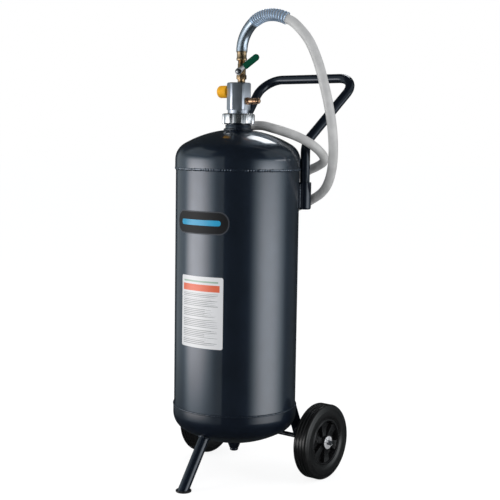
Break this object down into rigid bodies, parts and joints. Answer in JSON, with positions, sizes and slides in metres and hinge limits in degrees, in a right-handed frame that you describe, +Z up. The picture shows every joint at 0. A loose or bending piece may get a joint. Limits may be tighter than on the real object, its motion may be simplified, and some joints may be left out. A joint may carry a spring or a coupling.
{
  "type": "wheeled blasting pot",
  "caption": "Upright steel pressure pot on wheels and a front leg, with a push handle, a top manifold with a ball valve, and a long delivery hose under a spring guard.",
  "frame": {"origin": "on the floor under the middle of the whole footprint, hose left out; the tank's axis is 55 mm in front of it (-Y)", "axes": "+Z up, X along the axle with the outlet's hose going to +X, -Y towards the front leg, +Y towards the push handle"},
  "size_m": [0.4898, 0.5512, 1.2131],
  "materials": {
    "black_paint": "gloss powder coat",
    "foot_black": "matt",
    "machined_alloy": "satin machined",
    "bright_alloy": "bright machined",
    "zinc": "bright zinc plate",
    "chrome": "polished",
    "valve_brass": "satin",
    "relief_brass": "satin",
    "ferrule_brass": "satin",
    "copper_pink": "satin",
    "yellow_cap": "moulded gloss",
    "seal_rubber": "matt",
    "seat_white": "moulded",
    "green_grip": "dipped vinyl",
    "spring_steel": "bright drawn wire",
    "grey_hose": "smooth extruded",
    "nozzle_steel": "turned",
    "tyre_rubber": "moulded",
    "rim_plastic": "moulded satin",
    "bush_plastic": "moulded"
  },
  "bodies": {
    "root": {"tank_shell": "black_paint", "top_head": "black_paint", "bottom_head": "black_paint", "seam_welds": "black_paint", "filler_spud": "black_paint", "seal_ring": "seal_rubber", "manifold_block": "machined_alloy", "pickup_tube": "zinc", "inlet_nipple": "copper_pink", "relief_body": "relief_brass", "valve_body": "valve_brass", "valve_seats": "seat_white", "packing_nut": "valve_brass", "hose_ferrule": "ferrule_brass", "spring_guard": "spring_steel", "hose": "grey_hose", "hose_coupling": "ferrule_brass", "nozzle_body": "valve_brass", "nozzle_tip": "nozzle_steel", "handle": "black_paint", "socket_right": "black_paint", "socket_left": "black_paint", "socket_welds": "black_paint", "socket_screws": "zinc", "front_leg": "black_paint", "leg_foot": "foot_black", "bracket_right": "black_paint", "bracket_left": "black_paint", "axle": "zinc", "axle_washers": "zinc", "split_pins": "zinc", "drain_boss": "black_paint", "drain_plug": "black_paint"},
    "wheel_right": {"tyre_right": "tyre_rubber", "rim_right": "rim_plastic", "bushes_right": "bush_plastic"},
    "wheel_left": {"tyre_left": "tyre_rubber", "rim_left": "rim_plastic", "bushes_left": "bush_plastic"},
    "valve_lever": {"lever": "zinc", "lever_grip": "green_grip", "lever_nut": "zinc", "valve_stem": "zinc", "valve_ball": "chrome"},
    "collar": {"collar_nut": "bright_alloy"},
    "cap": {"inlet_cap": "yellow_cap"},
    "relief_pull": {"relief_knob": "relief_brass"}
  },
  "joints": [
    {"name": "wheel_right_spin", "type": "hinge", "parent": "root", "child": "wheel_right", "pos_m": [0.195, 0.06599, 0.099], "axis": [1, 0, 0], "continuous": true},
    {"name": "wheel_left_spin", "type": "hinge", "parent": "root", "child": "wheel_left", "pos_m": [-0.195, 0.06599, 0.099], "axis": [1, 0, 0], "continuous": true},
    {"name": "lever_turn", "type": "hinge", "parent": "root", "child": "valve_lever", "pos_m": [0.008, -0.05501, 1.05698], "axis": [0.2588, -0.9659, 0], "range_deg": [-36, 54]},
    {"name": "collar_turn", "type": "hinge", "parent": "root", "child": "collar", "pos_m": [0, -0.05501, 0.93748], "axis": [0, 0, 1], "range_deg": [0, 360]},
    {"name": "cap_pull", "type": "slide", "parent": "root", "child": "cap", "axis": [-1, 0, 0], "range_m": [0, 0.032]},
    {"name": "relief_pull", "type": "slide", "parent": "root", "child": "relief_pull", "axis": [1, 0, 0], "range_m": [0, 0.003], "stiffness_N_per_m": 400}
  ]
}
